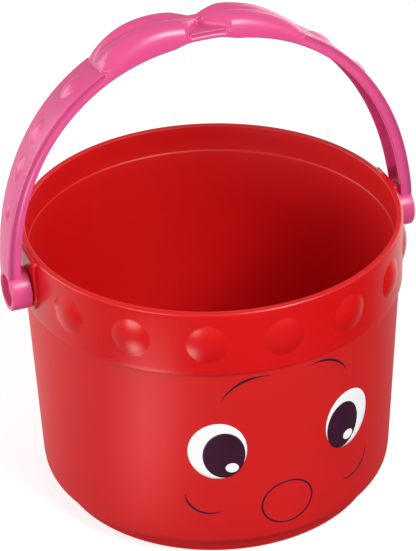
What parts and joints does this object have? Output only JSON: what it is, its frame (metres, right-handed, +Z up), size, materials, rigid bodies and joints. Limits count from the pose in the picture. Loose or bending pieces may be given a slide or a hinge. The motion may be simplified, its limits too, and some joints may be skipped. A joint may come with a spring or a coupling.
{
  "type": "sand bucket",
  "caption": "Tapered toy bucket with a domed rim band, a printed face and a swinging bail handle with a ribbon bow on top.",
  "frame": {"origin": "middle of the ground plane under the foot ring", "axes": "+Z up through the mouth, X along the line of the two pivot studs, -Y the side with the printed face"},
  "size_m": [0.2032, 0.1836, 0.2372],
  "materials": {
    "red_plastic": "satin moulded polypropylene",
    "pink_plastic": "satin moulded polypropylene",
    "white_ink": "smooth print",
    "dark_ink": "smooth print"
  },
  "bodies": {
    "bucket": {"bucket": "red_plastic", "white_print": "white_ink", "dark_print": "dark_ink"},
    "handle": {"handle": "pink_plastic"}
  },
  "joints": [
    {"name": "handle_swing", "type": "hinge", "parent": "bucket", "child": "handle", "pos_m": [0, 0, 0.121], "axis": [1, 0, 0], "range_deg": [-109, 123]}
  ]
}
